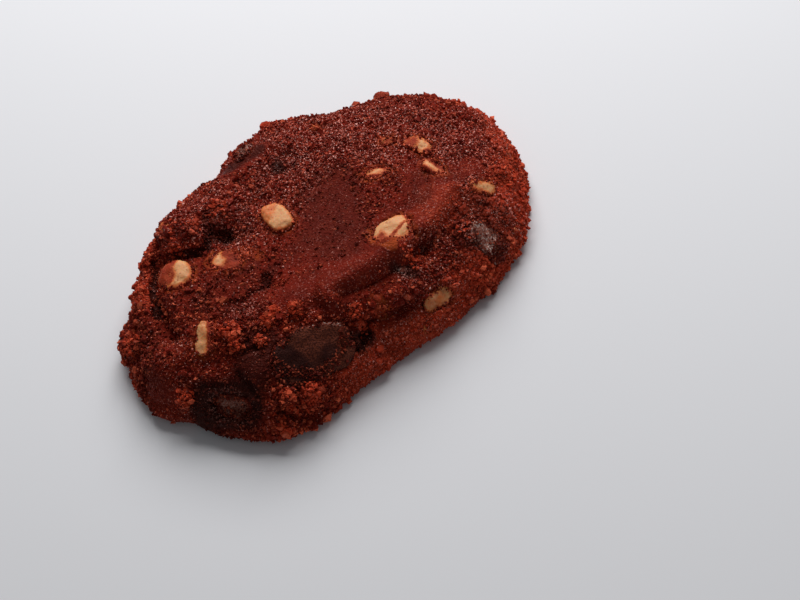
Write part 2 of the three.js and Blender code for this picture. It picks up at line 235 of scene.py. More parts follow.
# Heaps of loose rust-red crumb: x, y, spread, height, number
HEAPS = (
    (-19.1, -19.4, 1.5, 2.4, 260), (-22.3, -18.2, 0.9, 1.2, 80), (-15.2, -19.1, 0.9, 0.7, 40),
    (-13.6, -19.4, 0.5, 0.5, 20), (-6.2, -17, 1.5, 1.2, 120), (-4.7, -18.2, 0.8, 0.8, 40),
    (-16.9, -9, 1.3, 1.3, 130), (-15, -8.5, 0.9, 0.9, 60), (-12.6, -10.7, 1.3, 1, 90),
    (-19.6, -10.4, 1, 1, 60), (-22, -5.6, 1.8, 1.2, 120), (-22.8, -7.9, 1.1, 0.9, 70),
    (-24.8, -19.6, 2, 0.9, 110), (-33.1, -5.9, 1.6, 1, 90), (-33.2, 8, 2.4, 1.4, 200),
    (-16.4, 15.6, 1.6, 0.8, 90), (-13.6, 13.2, 1.4, 0.5, 80), (-17.8, 13.2, 1.2, 0.7, 60),
    (-8.5, 13, 2, 0.8, 110), (6.4, -16.6, 1.6, 1, 80), (16, -18.4, 2.4, 1, 120),
)


def rgb(red, green, blue):
    """A colour read as it looks on the screen, as Blender's linear light with its alpha."""
    shown = np.array([red, green, blue]) / 255.0
    linear = np.where(shown <= 0.04045, shown / 12.92, ((shown + 0.055) / 1.055) ** 2.4)
    return (*[float(part) for part in linear], 1.0)


def colour(name, description, *shown):
    """A colour property."""
    return bpy.props.FloatVectorProperty(
        name=name, description=description, default=rgb(*shown), size=4, subtype="COLOR", min=0.0, max=1.0
    )


def amount(name, description, default, **more):
    """A property for any other number."""
    return bpy.props.FloatProperty(name=name, description=description, default=default, **more)


def length(name, description, millimetres):
    """A length property."""
    return amount(name, description, millimetres * MM, unit="LENGTH")


def angle(name, description, degrees):
    """An angle property."""
    return amount(name, description, math.radians(degrees), subtype="ANGLE")


def number(name, description, value):
    """A count property."""
    return bpy.props.IntProperty(name=name, description=description, default=value, min=1)


class DoughSettings(bpy.types.PropertyGroup):
    """Sizes and colours of the baked dough."""

    cell: length("Cell", "Size of the mesh's cells", 0.28)
    crag_size: length("Crag size", "Width of the broken lumps on the rim", 2.1)
    crag_depth: length("Crag depth", "How deep the gaps between the lumps are", 0.7)
    crumb_size: length("Crumb size", "Width of the crumb on the rim", 0.9)
    crumb_depth: length("Crumb depth", "How deep the gaps in the crumb are", 0.8)
    crack: length("Cracks", "How deep the cracks in the crust are", 1.3)
    grain_size: length("Grain size", "Width of the fine grain on top", 0.5)
    grain_depth: length("Grain depth", "Height of the fine grain on top", 0.16)
    lump_size: length("Lump size", "Width of the lumps on top", 3.2)
    lump_depth: length("Lump depth", "How deep the hollows between the lumps are", 0.5)
    lip: length("Lip", "How far the dough has crept over the chocolate's edges", 1.2)
    heap: length("Heaps", "How high the dough stands under a heap of crumb", 1.3)
    fill: length("Fill", "How far the shallow creases are filled", 1.4)
    # Painted shade: deep is the colour laid in the creases and pits, and also of random dark patches and
    # grains
    deep: colour("Creases", "Colour down in the creases", 60, 13, 6)
    top: colour("Top", "Colour of the top", 118, 27, 13)
    satin: colour("Satin", "Colour of the smooth folds", 110, 26, 13)
    crumb: colour("Crumb", "Colour of the broken crumb", 180, 59, 33)
    # Painted highlight: the colour where the crumb catches light
    peak_highlight: colour("Crumb peaks", "Colour where the crumb catches light", 224, 102, 68)
    # Painted highlight: the colour of the pale grain
    frost_highlight: colour("Frosted grain", "Colour of the pale grain", 216, 98, 72)
    # Painted highlight: the colour of the smallest bright spots
    glint: colour("Glint", "Colour of the smallest bright specks", 238, 168, 154)
    smear: colour("Smear", "Colour of the dough drawn thin round a chip", 176, 78, 34)
    # Melted chocolate darkening, and painted shade in the cracks and on a fold
    shade_and_stain: colour("Stain", "Colour where chocolate has melted in", 54, 19, 13)


class ChocolateSettings(bpy.types.PropertyGroup):
    """Sizes and colours of the chips and chunks."""

    swell: length("Swell", "How far a piece fills its pocket", 0.1)
    unevenness: length("Unevenness", "How uneven a piece's faces are", 0.5)
    cream: colour("Cream", "Colour of the clean white chocolate", 222, 160, 109)
    caramel: colour("Caramel", "Colour of white chocolate browned by the oven", 214, 116, 62)
    film: colour("Film", "Colour of the dough smeared over a chip", 150, 48, 17)
    dark: colour("Dark", "Colour of the dark chocolate", 112, 52, 33)
    # On the largest chunk the bloom colour also paints a highlight along its top edge
    bloom: colour("Bloom", "Colour of the grey bloom on dark chocolate", 166, 104, 88)
    # Painted sparkle in the bloom, and the painted highlight on the largest chunk's top edge
    crystal_sparkle: colour("Crystals", "Colour of the crystals in the bloom", 226, 206, 196)


class CrumbSettings(bpy.types.PropertyGroup):
    """Sizes and numbers of the loose crumb."""

    grain: length("Grain", "Width of a fine grain", 0.3)
    grains: number("Grains", "Number of fine grains on top", 24500)
    rim_grain: length("Rim grain", "Width of a grain on the rim", 0.35)
    rim_grains: number("Rim grains", "Number of grains on the rim", 24500)
    # The smallest grains are painted sparkle, their tone lifted into the brightest colour
    glint: length("Glint", "Width of the smallest bright grain", 0.18)
    glints: number("Glints", "Number of the smallest bright grains", 15000)
    film_grains: number("Film grains", "Number of grains stuck to the chocolate", 11000)
    crumb: length("Crumb", "Width of a crumb", 0.65)
    crumbs: number("Crumbs", "Number of crumbs", 900)
    heap_grain: length("Heap grain", "Width of a grain in a heap", 0.42)
    seed: number("Seed", "Changes where the crumbs lie", 7)


class StageSettings(bpy.types.PropertyGroup):
    """Floor, light and camera."""

    floor: colour("Floor", "Colour of the floor", 232, 232, 235)
    elevation: angle("Elevation", "Camera above the horizon", 55.0)
    bearing: angle("Bearing", "Camera round the cookie", -27.0)
    roll: angle("Roll", "Turn of the camera about its own line of sight", 18.0)
    distance: length("Distance", "From the camera to the cookie", 250.0)
    lamp_power: amount("Lamp", "Power of the soft lamp", 1.62, unit="POWER", min=0.0)
    sky: amount("Sky", "Strength of the fill light", 0.15, min=0.0)


class Wire:
    """One value in a finish. Arithmetic on it adds Math nodes."""

    def __init__(self, finish, socket):
        self.finish = finish
        self.socket = socket

    def math(self, operation, *values):
        return self.finish.node("ShaderNodeMath", dict(enumerate(values)), operation=operation)

    def __add__(self, other):
        return self.math("ADD", self, other)

    def __radd__(self, other):
        return self.math("ADD", other, self)

    def __sub__(self, other):
        return self.math("SUBTRACT", self, other)

    def __rsub__(self, other):
        return self.math("SUBTRACT", other, self)

    def __mul__(self, other):
        return self.math("MULTIPLY", self, other)

    def __rmul__(self, other):
        return self.math("MULTIPLY", other, self)

    def ramp(self, low, high):
        """0 below low, 1 above high, and a soft rise between them."""
        sockets = {"Value": self, "From Min": low, "From Max": high}
        return self.finish.node("ShaderNodeMapRange", sockets, interpolation_type="SMOOTHSTEP")


class Finish:
    """A material whose patterns are measured in millimetres on the piece."""

    def __init__(self, name, **uniform):
        self.material = bpy.data.materials.new(name)
        self.material.use_nodes = True
        self.tree = self.material.node_tree
        self.shader = self.tree.nodes["Principled BSDF"]
        for key, value in uniform.items():
            self.shader.inputs[key.replace("_", " ")].default_value = value
        place = {"Vector": self.node("ShaderNodeTexCoord", {}, "Object"), "Scale": 1 / MM}
        self.place = self.node("ShaderNodeVectorMath", place, operation="SCALE")

    def node(self, kind, sockets, out=0, **settings):
        """Adds any node: its settings first, and then the values or links of its sockets."""
        node = self.tree.nodes.new(kind)
        for key, value in settings.items():
            setattr(node, key, value)
        for key, value in sockets.items():
            if isinstance(value, Wire):
                self.tree.links.new(value.socket, node.inputs[key])
            else:
                node.inputs[key].default_value = value
        return Wire(self, node.outputs[out])

    def mix(self, amount, first, second):
        """Two colours mixed, by an amount that the node keeps from 0 to 1."""
        return self.node("ShaderNodeMix", {0: amount, 6: first, 7: second}, 2, data_type="RGBA")

    def noise(self, size, detail=2, roughness=0.5):
        """Soft noise whose lumps are size millimetres wide."""
        sockets = {"Vector": self.place, "Scale": 1 / size, "Detail": detail, "Roughness": roughness}
        return self.node("ShaderNodeTexNoise", sockets)

    def cells(self, size, out="Distance"):
        """Cells size millimetres wide."""
        return self.node("ShaderNodeTexVoronoi", {"Vector": self.place, "Scale": 1 / size}, out)

    def cell_value(self, size):
        """One random number for each cell."""
        return self.node("ShaderNodeSeparateColor", {"Color": self.cells(size, "Color")})

    def kept(self, *names):
        """Numbers kept on the piece's own points."""
        return [self.node("ShaderNodeAttribute", {}, "Fac", attribute_name=name) for name in names]

    def bump(self, height, millimetres):
        """The surface raised by a height from 0 to 1."""
        sockets = {"Height": height, "Distance": millimetres * MM, "Strength": 1}
        self.feed("Normal", self.node("ShaderNodeBump", sockets))

    def feed(self, socket, wire):
        """Links a value or colour to the shader."""
        self.tree.links.new(wire.socket, self.shader.inputs[socket])


def pick(piece):
    """Makes one object the only selected and the active one."""
    bpy.ops.object.select_all(action="DESELECT")
    piece.select_set(True)
    bpy.context.view_layer.objects.active = piece


def add(name, data):
    """Adds an object to the scene."""
    added = bpy.data.objects.new(name, data)
    bpy.context.scene.collection.objects.link(added)
    return added


def node_copy(node, name):
    """A copy of a CAD node's mesh with its doubled corners merged."""
    piece = add(name, frame["nodes"][node].data.copy())
    pick(piece)
    bpy.ops.object.mode_set(mode="EDIT")
    bpy.ops.mesh.select_all(action="SELECT")
    bpy.ops.mesh.remove_doubles(threshold=0.001 * MM)
    bpy.ops.object.mode_set(mode="OBJECT")
    return piece


def finish_piece(piece, slot, material, *nodes):
    """Gives a piece its material and its body, and hides the CAD nodes that it stands for."""
    piece.data.materials.clear()
    piece.data.materials.append(material)
    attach(piece, "root")
    if nodes:
        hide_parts(*nodes)


def modify(piece, kind, **settings):
    """Adds a modifier and applies it."""
    added = piece.modifiers.new(kind, kind)
    for key, value in settings.items():
        setattr(added, key, value)
    pick(piece)
    bpy.ops.object.modifier_apply(modifier=added.name)


def swell(piece, height, weights=None, middle=0.0, texture=None):
    """Raises a piece's surface, evenly or by a texture, as far as each point's weight says."""
    group = "" if weights is None else weigh(piece, weights)
    settings = {"strength": height, "mid_level": middle, "vertex_group": group}
    modify(piece, "DISPLACE", texture=texture, **settings)


def raise_by(piece, kind, size, height, weights=None, middle=0.5):
    """Raises a piece's surface by soft clouds, sharp crests or cells."""
    texture = bpy.data.textures.new(kind.lower(), "VORONOI" if kind == "CELLS" else "CLOUDS")
    texture.noise_scale = size
    if kind != "CELLS":
        texture.noise_basis = "IMPROVED_PERLIN"
        texture.noise_type = "HARD_NOISE" if kind == "CRESTS" else "SOFT_NOISE"
    swell(piece, height, weights, middle, texture)


def numbers(items, name, width, kind=np.float64):
    """One property of many points or faces, a row for each."""
    found = np.empty(len(items) * width, kind)
    items.foreach_get(name, found)
    return found.reshape(-1, width)


def points(piece):
    """A mesh's points in millimetres, and its normals."""
    found = piece.data.vertices
    return numbers(found, "co", 3) / MM, numbers(found, "normal", 3)


def place_points(piece, place):
    """Puts a mesh's points at these places in millimetres."""
    piece.data.vertices.foreach_set("co", (place * MM).ravel())
    piece.data.update()


def rise(value, low, high):
    """0 below low, 1 above high, and a soft rise between them."""
    part = np.clip((value - low) / (high - low), 0, 1)
    return part * part * (3 - 2 * part)


def nearness(place, places):
    """How near each point lies in plan to any of these lines, from 0 to 1."""
    found = np.zeros(len(place))
    for reach, most, *line in places:
        corners = np.reshape(line, (-1, 2))
        for start, along in zip(corners, np.diff(corners, axis=0)):
            part = np.clip((place[:, :2] - start) @ along / (along @ along), 0, 1)
            away = np.linalg.norm(place[:, :2] - start - part[:, None] * along, axis=1)
            found = np.maximum(found, most * (1 - rise(away, CORE * reach, reach)))
    return found


def weigh(piece, weights):
    """A vertex group from an array of weights: its name."""
    group = piece.vertex_groups.new(name="weights")
    steps = np.round(np.clip(weights, 0, 1) * WEIGHT_STEPS).astype(int)
    for step in range(WEIGHT_STEPS + 1):
        chosen = np.flatnonzero(steps == step)
        if len(chosen):
            group.add(chosen.tolist(), step / WEIGHT_STEPS, "REPLACE")
    return group.name


def keep(piece, name, values):
    """Keeps a number for each point, or the same for all of them, for the piece's finish."""
    kept = piece.data.attributes
    stored = kept[name] if name in kept else kept.new(name, "FLOAT", "POINT")
    values = np.broadcast_to(values, len(stored.data))
    stored.data.foreach_set("value", np.ascontiguousarray(values, np.float32))


def dough_finish(look):
    """Baked crumb: rust red on the crumb, with painted shade dark in the gaps and creases, and pale grains
    painted as highlights.
    """
    dough = Finish("red_velvet_dough", Specular_IOR_Level=0.05)
    relief, crumbly, hollow_shade, halo = dough.kept("relief", "crumbly", "hollow_shade", "halo")
    frost_highlighted, shade_and_stained, rusty, smooth, crystal_sparkles = dough.kept(*GRAIN_LOOKS)
    grain = dough.noise(0.3, 3, 0.6)
    cell = dough.cells(0.34)
    chance = dough.cell_value(0.27)
    patch = dough.noise(4, 3)
    fleck = dough.noise(0.9, 3, 0.6)
    smudge = dough.noise(2.2, 2).ramp(0.42, 0.6)
    height = relief * 0.5 + grain * 0.35 + (1 - cell) * 0.25
    ground = dough.mix(rusty + crumbly * 0.25, look.top, look.crumb)
    ground = dough.mix(smooth * 0.75, ground, look.satin)
    ground = dough.mix(patch.ramp(0.42, 0.72) * 0.4, ground, look.deep)
    ground = dough.mix(fleck.ramp(0.4, 0.7) * (0.3 - smooth * 0.2), ground, look.shade_and_stain)
    # Painted shade: the pits in the grain take the deep colour
    body = dough.mix(height.ramp(0.26, 0.52) + smooth * 0.5, look.deep, ground)
    # Painted highlights: small pale spots on the higher grain, thickest where pale grain lies
    lit = dough.mix(frost_highlighted, look.peak_highlight, look.frost_highlight)
    highlight_speck = chance.ramp(0.66, 0.97) * (0.15 + frost_highlighted * 0.75 + rusty * 0.3) * height.ramp(0.38, 0.66)
    body = dough.mix(highlight_speck * (1 - smooth * 0.5), body, lit)
    body = dough.mix((halo * 1.1 - fleck * 0.7).ramp(0.05, 0.6) * (0.15 + smudge * 0.45), body, look.smear)
    # Melted chocolate darkening, and painted shade in the cracks and on a fold
    body = dough.mix(shade_and_stained * 1.3 - fleck * 0.4, body, look.shade_and_stain)
    # Painted shade in the creases, by how far each point lies below the ironed surface
    body = dough.mix(hollow_shade.ramp(0.1, 0.9) * 0.35, body, look.deep)
    # Painted sparkle in the dough's own grain, thicker where chocolate has melted in
    spark = dough.cell_value(0.19)
    glint = spark.ramp(0.9, 0.97) * (0.15 + frost_highlighted * 0.35) * (1 - shade_and_stained * 0.8)
    body = dough.mix(glint + spark.ramp(0.7, 0.9) * crystal_sparkles * 0.7, body, look.glint)
    dough.feed("Base Color", body)
    dough.feed("Roughness", 0.7 - highlight_speck * 0.3 - shade_and_stained * 0.1 - smooth * 0.1)
    dough.bump(grain * 0.5 + (1 - cell) * 0.7 + dough.noise(0.14) * 0.3, 0.2)
    return dough.material


def crumb_finish(look, name, gloss, dull):
    """Loose crumb: each one has its own tone, and the palest take painted highlight colours and painted
    sparkle.
    """
    crumb = Finish(name, Specular_IOR_Level=gloss)
    tone, frost_highlighted, shade_and_stained, rusty, smooth, crystal_sparkles = crumb.kept("tone", *GRAIN_LOOKS)
    grain = crumb.noise(0.16, 2, 0.6)
    patch = crumb.noise(4, 3)
    shade = tone * 0.85 + grain * 0.4 + smooth * 0.1 - 0.1
    ground = crumb.mix(rusty, look.top, look.crumb)
    ground = crumb.mix(patch.ramp(0.42, 0.72) * 0.35, ground, look.deep)
    # Dark and pale grains at random; the palest take the painted highlight colours
    body = crumb.mix(shade.ramp(0, 0.36), look.deep, ground)
    body = crumb.mix(shade.ramp(0.62, 1), body, crumb.mix(frost_highlighted, look.peak_highlight, look.frost_highlight))
    # Melted chocolate darkening, and painted shade on grains in the cracks
    body = crumb.mix(shade_and_stained * 0.85, body, look.shade_and_stain)
    # Painted sparkle on the brightest grains
    spark = crumb.cell_value(0.19)
    glint = spark.ramp(0.9, 0.97) * (0.15 + frost_highlighted * 0.3) + (tone - 1).ramp(0, 0.5)
    glint = glint * (1 - shade_and_stained * 0.8) + spark.ramp(0.7, 0.9) * crystal_sparkles * 0.7
    body = crumb.mix(glint, body, look.glint)
    crumb.feed("Base Color", body)
    crumb.feed("Roughness", dull - frost_highlighted * tone * 0.2)
    crumb.bump(grain, 0.08)
    return crumb.material


def white_finish(choc, look):
    """White chocolate: cream where clean, browned and smeared with dough towards its ragged edge."""
    soft = {"Subsurface_Weight": 0.35, "Subsurface_Scale": 0.9 * MM}
    white = Finish("white_chocolate", Specular_IOR_Level=0.2, **soft)
    (film,) = white.kept("film")
    patch = white.noise(1.3, 3, 0.6)
    fine = white.noise(0.3, 2)
    ragged = film * 1.25 + (patch - 0.5) * 1.1 + (fine - 0.5) * 0.35
    covered = ragged.ramp(0.55, 1)
    body = white.mix(ragged.ramp(0.12, 0.6), choc.cream, choc.caramel)
    body = white.mix(covered, body, choc.film)
    body = white.mix(ragged.ramp(1, 1.25), body, white.mix(fine.ramp(0.3, 0.6), look.top, choc.film))
    body = white.mix(white.cell_value(0.3).ramp(0.93, 0.98) * 0.4, body, choc.film)
    white.feed("Base Color", body)
    white.feed("Roughness", 0.45 + covered * 0.2 + fine * 0.1)
    white.bump(patch * 0.5 + fine * 0.4 + covered * fine * 0.8, 0.14)
    return white.material


def dark_finish(choc, look):
    """Dark chocolate: matte, smeared with dough, and grey where it has bloomed, with painted sparkle in the
    bloom and, on one chunk, a painted highlight along its top edge.
    """
    dark = Finish("dark_chocolate", Specular_IOR_Level=0.12)
    bloom, film = dark.kept("bloom", "film")
    patch = dark.noise(1.6, 3, 0.6)
    fine = dark.noise(0.28, 2)
    # Painted sparkle in the bloom, and on the matte chunk a painted highlight along its top edge
    crystal_sparkle = dark.cell_value(0.22).ramp(0.66, 0.88) * bloom.ramp(0.2, 0.9)
    crystal_sparkle = crystal_sparkle * (0.3 + patch.ramp(0.4, 0.58) * 0.7)
    body = dark.mix(fine.ramp(0.35, 0.7), choc.dark, look.shade_and_stain)
    body = dark.mix(bloom * patch.ramp(0.25, 0.6), body, choc.bloom)
    smeared = (film * 1.2 + patch * 0.8 - 0.7).ramp(0, 0.6)
    body = dark.mix(smeared, body, dark.mix(bloom.ramp(0, 0.3), look.shade_and_stain, look.top))
    body = dark.mix(fine.ramp(0.56, 0.8) * (0.2 + bloom * 0.3), body, choc.film)
    body = dark.mix(crystal_sparkle * 0.85, body, choc.crystal_sparkle)
    dark.feed("Base Color", body)
    dark.feed("Roughness", 0.66 - bloom * 0.12 - crystal_sparkle * 0.15)
    dark.bump(patch * 0.5 + fine * 0.9, 0.3)
    return dark.material


def thin_underside(dough):
    """Fewer faces on the flat underside, which needs no fine cells."""
    pick(dough)
    for face in dough.data.polygons:
        face.select = face.normal.z < -0.97 and face.center.z < 0.1 * MM
    bpy.ops.object.mode_set(mode="EDIT")
    bpy.ops.mesh.decimate(ratio=0.12)
    bpy.ops.object.mode_set(mode="OBJECT")


def make_dough(look):
    """The dough, from fine cells: its broken crumb, its grain and its smooth folds."""
    dough = node_copy("dough", "cookie_dough")
    modify(dough, "REMESH", mode="VOXEL", voxel_size=look.cell, use_smooth_shade=True)
    modify(dough, "SMOOTH", factor=0.5, iterations=18)
    thin_underside(dough)
    place, normal = points(dough)
    tall, facing = place[:, 2], normal[:, 2]
    # How far each point lies below its ironed surface, which paints shade in the creases
    hollow_shade = np.einsum("ij,ij->i", ironed(dough) - place, normal)
    outer = np.linalg.norm(place[:, :2] / HALF_SPAN, axis=1)
    smooth = nearness(place, SMOOTH)
    under = rise(-facing, 0.7, 0.95) * rise(1.2 - tall, 0.4, 1)
    crumbly = np.maximum(rise(outer, 0.76, 0.94) * 0.9, rise(1 - facing, 0.3, 0.9) * 0.6)
    crumbly = np.maximum(crumbly, nearness(place, CRUMBLY)) * (1 - 0.9 * smooth)
    crumbly = crumbly * (1 - nearness(place, CALM))
    crumbly = np.maximum(crumbly * (1 - 0.75 * under), 0.05)
    rusty = np.maximum(rise(outer, 0.84, 0.96), nearness(place, RUSTY))
    rusty = rusty * (1 - nearness(place, DULL))
    cracked = nearness(place, CRACKS) * (tall > FOOT)
    covered = chocolate_near(place, 1.2, WHITE_CHIPS + DARK_CHUNKS) * (1 - nearness(place, BARE))
    lumpy = (1 - smooth) * (0.5 + 0.5 * crumbly) * rise(facing, -0.2, 0.4)
    swell(dough, look.fill, nearness(place, FILLED))
    raise_by(dough, "CELLS", look.lump_size, -look.lump_depth, lumpy)
    raise_by(dough, "CLOUDS", 1.1 * MM, -look.crack, cracked, -0.2)
    swell(dough, look.heap, heaped(place) * rise(facing, -0.2, 0.3))
    raise_by(dough, "CLOUDS", 1.3 * MM, look.lip, covered, 0.0)
    raise_by(dough, "CELLS", look.crag_size, -look.crag_depth, crumbly)
    raise_by(dough, "CRESTS", look.crumb_size, -look.crumb_depth, crumbly, 0.3)
    raise_by(dough, "CLOUDS", look.grain_size, look.grain_depth * 2, 1 - 0.5 * smooth)
    raised, _ = points(dough)
    relief = np.einsum("ij,ij->i", raised - place, normal)
    raised[:, 2] = np.clip(raised[:, 2], 0, ROOF + DOUGH_PROUD)
    place_points(dough, raised)
    keep(dough, "relief", np.clip(0.5 + relief / (0.45 + 0.5 * crumbly), 0, 1))
    keep(dough, "crumbly", crumbly)
    # Where pale grains and painted highlights gather
    keep(dough, "frost_highlighted", nearness(place, FROST_HIGHLIGHTED) * (1 - under) * (1 - 0.7 * smooth))
    # Melted chocolate darkening, with painted shade in the cracks
    keep(dough, "shade_and_stained", np.maximum(nearness(place, SHADED_AND_STAINED), 0.8 * cracked**2))
    keep(dough, "halo", np.maximum(chocolate_near(raised, 1.7, WHITE_CHIPS), nearness(place, DRAWN)))
    keep(dough, "smooth", smooth)
    # Where painted sparkle lies on chocolate melted into the dough
    keep(dough, "crystal_sparkles", nearness(place, GLITTERING))
    keep(dough, "rusty", rusty)
    keep(dough, "hollow_shade", np.clip(hollow_shade / 1.2, 0, 1))
    finish_piece(dough, "dough", dough_finish(look), "dough")


def tree_of(*pieces):
    """Pieces as one mesh in millimetres, to look up what lies near or over a point."""
    corners, faces = [], []
    for piece in pieces:
        faces += [[corner + len(corners) for corner in face.vertices] for face in piece.data.polygons]
        corners += [point.co / MM for point in piece.data.vertices]
    return BVHTree.FromPolygons(corners, faces)


def near(place, tree, reach):
    """How near each point lies to a mesh: 1 on it, and 0 from reach millimetres on."""
    found = [tree.find_nearest(Vector(at), reach)[3] for at in place]
    return np.nan_to_num(1 - np.array(found, float) / reach)


def chocolate_near(place, reach, nodes):
    """How near each point lies to any of these chips or chunks."""
    trees = [tree_of(frame["nodes"][node]) for node in nodes]
    return np.max([near(place, tree, reach) for tree in trees], axis=0)


def mound(place, x, y, width):
    """A soft mound round one spot: 1 in its middle, falling off over its width."""
    return np.exp(-((np.linalg.norm(place[:, :2] - np.array([x, y]), axis=1) / width) ** 2))


def heaped(place):
    """How high the heaps of crumb stand at each point, from 0 to 1."""
    highest = max(height for _, _, _, height, _ in HEAPS)
    mounds = [height / highest * mound(place, x, y, 0.6 * spread) for x, y, spread, height, _ in HEAPS]
    return np.max(mounds, axis=0)


def ironed(piece):
    """Where a piece's points would lie if its folds and pits were ironed out."""
    ghost = add("ghost", piece.data.copy())
    modify(ghost, "SMOOTH", factor=0.5, iterations=60)
    place, _ = points(ghost)
    bpy.data.objects.remove(ghost)
    return place


def way_out(piece):
    """The direction in which the dough's own surface faces round a piece of chocolate."""
    place, normal = points(bpy.data.objects["cookie_dough"])
    middle = points(piece)[0].mean(axis=0)
    out = normal[np.linalg.norm(place - middle, axis=1) < ROUND_ABOUT].sum(axis=0)
    return out / np.linalg.norm(out)


def make_chocolate(node, choc, seed, rough, flat):
    """One chip or chunk, swollen to fill its pocket, flattened where it shows and uneven all over."""
    piece = node_copy(node, node + "_piece")
    out = way_out(piece)
    modify(piece, "SUBSURF", levels=2, render_levels=2)
    swell(piece, choc.swell)
    place, _ = points(piece)
    up = (place - place.mean(axis=0)) @ out
    place_points(piece, place - flat * np.maximum(0, up - 0.5 * up.max())[:, None] * out)
    shift = Vector((seed * 0.013, seed * 0.007, 0.0))
    piece.data.transform(Matrix.Translation(shift))
    raise_by(piece, "CELLS", 2.4 * MM, choc.unevenness * rough)
    raise_by(piece, "CLOUDS", 2.6 * MM, choc.unevenness * 1.6)
    raise_by(piece, "CLOUDS", 0.7 * MM, choc.unevenness * 0.6)
    piece.data.transform(Matrix.Translation(-shift))
    bpy.ops.object.shade_smooth()
    place, _ = points(piece)
    up = (place - place.mean(axis=0)) @ out
    return piece, place, up / max(up.max(), 0.1)


def make_white_chips(choc, look):
    """The white chips, each smeared where it meets the dough."""
    material = white_finish(choc, look)
    dough = tree_of(bpy.data.objects["cookie_dough"])
    for seed, node in enumerate(WHITE_CHIPS):
        flat = 0.35 if node in PROUD_CHIPS else 0.6
        piece, place, up = make_chocolate(node, choc, seed + 1, 1.0, flat)
        film = np.maximum(near(place, dough, 1.3), 1 - rise(up, -0.2, 0.5))
        film = np.maximum(film, nearness(place, FILMED)) * (1 - nearness(place, BARE))
        keep(piece, "film", film)
        keep(piece, "edge", np.maximum(near(place, dough, 1), 0.8 * nearness(place, COVERED)))
        finish_piece(piece, "white_chocolate", material, node)


def make_dark_chunks(choc, look):
    """The dark chunks: the first is matte, lies flush and has a painted highlight along its top edge, and
    the others have bloom.
    """
    material = dark_finish(choc, look)
    dough = tree_of(bpy.data.objects["cookie_dough"])
    for seed, (node, bloom) in enumerate(zip(DARK_CHUNKS, BLOOM)):
        matte = node == DARK_CHUNKS[0]
        rough, flat, least = (0.8, 0.8, 0.16) if matte else (1.3, 0.4, 0.3)
        piece, place, _ = make_chocolate(node, choc, seed + 31, rough, flat)
        # On the matte chunk the bloom and sparkle colours paint a highlight along its top edge
        crystal_sparkles = nearness(place, EDGE_HIGHLIGHT if matte else GLITTERING)
        keep(piece, "bloom", np.maximum(bloom, crystal_sparkles))
        edge = near(place, dough, 1.4)
        keep(piece, "film", np.maximum(edge, nearness(place, FILMED)) * (1 - 0.7 * crystal_sparkles))
        keep(piece, "edge", np.maximum(np.maximum(edge, least), nearness(place, COVERED)))
        keep(piece, "shade_and_stained", 0.6)
        finish_piece(piece, "dark_chocolate", material, node)


def chocolate_pieces():
    """The pieces that stand for the chips and chunks."""
    return [bpy.data.objects[node + "_piece"] for node in WHITE_CHIPS + DARK_CHUNKS]


def make_flecks():
    """Specks of chocolate too small to be chips, each half sunk in what carries it."""
    like = {"white_chocolate": WHITE_CHIPS[0], "dark_chocolate": DARK_CHUNKS[0]}
    ground = tree_of(bpy.data.objects["cookie_dough"], *chocolate_pieces())
    for seed, (x, y, long, wide, turn, slot, smeared) in enumerate(FLECKS):
        bpy.ops.object.select_all(action="DESELECT")
        bpy.ops.mesh.primitive_ico_sphere_add(subdivisions=3, radius=0.5 * MM)
        fleck = bpy.context.object
        fleck.name = "fleck_" + str(seed + 1)
        bpy.ops.object.mode_set(mode="EDIT")
        bpy.ops.mesh.select_all(action="SELECT")
        bpy.ops.transform.resize(value=(long, wide, 0.6 * wide))
        bpy.ops.transform.vertex_random(offset=0.07 * MM, seed=seed)
        bpy.ops.object.mode_set(mode="OBJECT")
        bpy.ops.object.shade_smooth()
        at, out, _, _ = ground.ray_cast(Vector((x, y, ABOVE)), Vector((0.0, 0.0, -1.0)))
        lie = out.to_track_quat("Z", "X").to_matrix().to_4x4() @ Matrix.Rotation(math.radians(turn), 4, "Z")
        fleck.data.transform(Matrix.Translation((at - 0.1 * wide * out) * MM) @ lie)
        keep(fleck, "film", smeared)
        keep(fleck, "bloom", 0.8)
        finish_piece(fleck, slot, bpy.data.objects[like[slot] + "_piece"].data.materials[0])


def grain_shapes(kind, first):
    """A few broken grains about a millimetre wide, each roughened in edit mode."""
    shapes = []
    for seed in range(first, first + GRAIN_SHAPES):
        bpy.ops.object.select_all(action="DESELECT")
        if kind == "fine":
            size = {"radius1": 0.55 * MM, "depth": 0.5 * MM}
            bpy.ops.mesh.primitive_cone_add(vertices=4, end_fill_type="TRIFAN", **size)
        else:
            bpy.ops.mesh.primitive_ico_sphere_add(subdivisions=2, radius=0.5 * MM)
        grain = bpy.context.object
        bpy.ops.object.mode_set(mode="EDIT")
        if kind == "fine":
            bpy.ops.mesh.select_mode(type="VERT")
            bpy.ops.mesh.select_all(action="DESELECT")
            bpy.ops.object.mode_set(mode="OBJECT")
            for point in grain.data.vertices:
                point.select = point.co.z < 0 and point.co.xy.length < 0.01 * MM
            bpy.ops.object.mode_set(mode="EDIT")
            bpy.ops.transform.translate(value=(0.0, 0.0, -0.5 * MM))
        bpy.ops.mesh.select_all(action="SELECT")
        bpy.ops.transform.vertex_random(offset=0.26 * MM, seed=seed)
        stretch = (1 + 0.08 * (seed % 4), 0.8 + 0.1 * (seed % 3), 0.85 + 0.6 * (seed % 2))
        bpy.ops.transform.resize(value=stretch)
        bpy.ops.object.mode_set(mode="OBJECT")
        place, _ = points(grain)
        faces = np.array([tuple(face.vertices) for face in grain.data.polygons])
        shapes.append((place, faces))
        bpy.data.objects.remove(grain)
    return shapes


